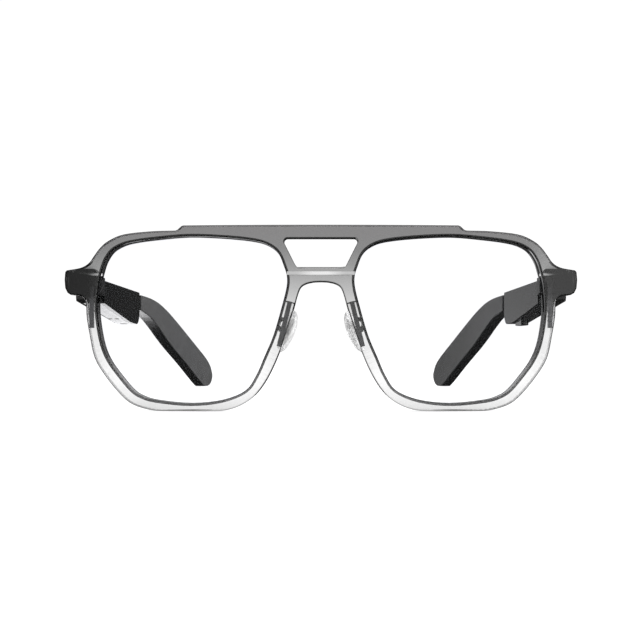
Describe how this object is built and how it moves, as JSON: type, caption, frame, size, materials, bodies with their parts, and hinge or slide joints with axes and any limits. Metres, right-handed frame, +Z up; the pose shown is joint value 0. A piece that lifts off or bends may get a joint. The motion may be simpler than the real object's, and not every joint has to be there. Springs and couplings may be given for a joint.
{
  "type": "smart glasses",
  "caption": "Double-bridge smart glasses: gradient crystal front with clear lenses, folding temples with electronics housings, rocking nose pads and a button under the left temple.",
  "frame": {"origin": "under the middle of the open glasses, on the surface that the rims and the temple tips stand on", "axes": "+X to the wearer's left, +Y from the front back along the temples, +Z up"},
  "size_m": [0.1494, 0.1568, 0.0534],
  "materials": {
    "acetate": "polished translucent acetate, grey at the brow fading to clear at the bottom",
    "polished_trim": "polished metal inlay",
    "lens": "clear, coated",
    "end_block": "fine satin",
    "dark_hinge": "black coated steel",
    "steel": "satin steel",
    "silicone": "soft translucent silicone",
    "housing": "black, semi gloss",
    "cover": "black satin",
    "cell": "foil pouch",
    "circuit_board": "solder mask",
    "speaker_case": "moulded",
    "gasket": "soft foam rubber",
    "mesh_metal": "black etched mesh",
    "mic_case": "plated can",
    "sensor_film": "copper on film",
    "gold_contact": "gold plated",
    "core_steel": "spring steel strip",
    "temple_tip": "dark grey satin",
    "button": "black, semi gloss",
    "switch": "moulded"
  },
  "bodies": {
    "front": {"front_frame": "acetate", "bridge_trim": "polished_trim", "right_lens": "lens", "left_lens": "lens", "right_end_block": "end_block", "left_end_block": "end_block", "right_front_hinge": "dark_hinge", "left_front_hinge": "dark_hinge", "right_block_screws": "steel", "left_block_screws": "steel", "right_hinge_pin": "steel", "left_hinge_pin": "steel", "right_pad_arm": "steel", "left_pad_arm": "steel", "right_pad_screw": "steel", "left_pad_screw": "steel"},
    "right_temple": {"right_temple_hinge": "steel", "right_leaf_screws": "steel", "right_outer_shell": "housing", "right_inner_cover": "cover", "right_battery": "cell", "right_main_board": "circuit_board", "right_speaker": "speaker_case", "right_speaker_gasket": "gasket", "right_speaker_grille": "mesh_metal", "right_microphone": "mic_case", "right_touch_sensor": "sensor_film", "right_charging_contacts": "gold_contact", "right_temple_core": "core_steel", "right_temple_tip": "temple_tip"},
    "right_pad": {"right_nose_pad": "silicone", "right_pad_core": "steel"},
    "left_temple": {"left_temple_hinge": "steel", "left_leaf_screws": "steel", "left_outer_shell": "housing", "left_inner_cover": "cover", "left_battery": "cell", "left_main_board": "circuit_board", "left_speaker": "speaker_case", "left_speaker_gasket": "gasket", "left_speaker_grille": "mesh_metal", "left_microphone": "mic_case", "left_touch_sensor": "sensor_film", "left_charging_contacts": "gold_contact", "left_temple_core": "core_steel", "left_temple_tip": "temple_tip", "button_switch": "switch"},
    "left_pad": {"left_nose_pad": "silicone", "left_pad_core": "steel"},
    "button": {"function_button": "button"}
  },
  "joints": [
    {"name": "right_temple_fold", "type": "hinge", "parent": "front", "child": "right_temple", "pos_m": [-0.0664, -0.06665, 0.0369], "axis": [0, 0, -1], "range_deg": [0, 85]},
    {"name": "left_temple_fold", "type": "hinge", "parent": "front", "child": "left_temple", "pos_m": [0.0664, -0.06665, 0.0369], "axis": [0, 0, 1], "range_deg": [0, 63]},
    {"name": "right_pad_rock", "type": "hinge", "parent": "front", "child": "right_pad", "pos_m": [-0.01134, -0.06899, 0.02351], "axis": [-0.4119, 0.8988, 0.1499], "range_deg": [-10, 10]},
    {"name": "left_pad_rock", "type": "hinge", "parent": "front", "child": "left_pad", "pos_m": [0.01134, -0.06899, 0.02351], "axis": [0.4119, 0.8988, 0.1499], "range_deg": [-10, 10]},
    {"name": "function_button_press", "type": "slide", "parent": "left_temple", "child": "button", "axis": [0, 0, 1], "range_m": [0, 0.0005], "stiffness_N_per_m": 2000}
  ]
}
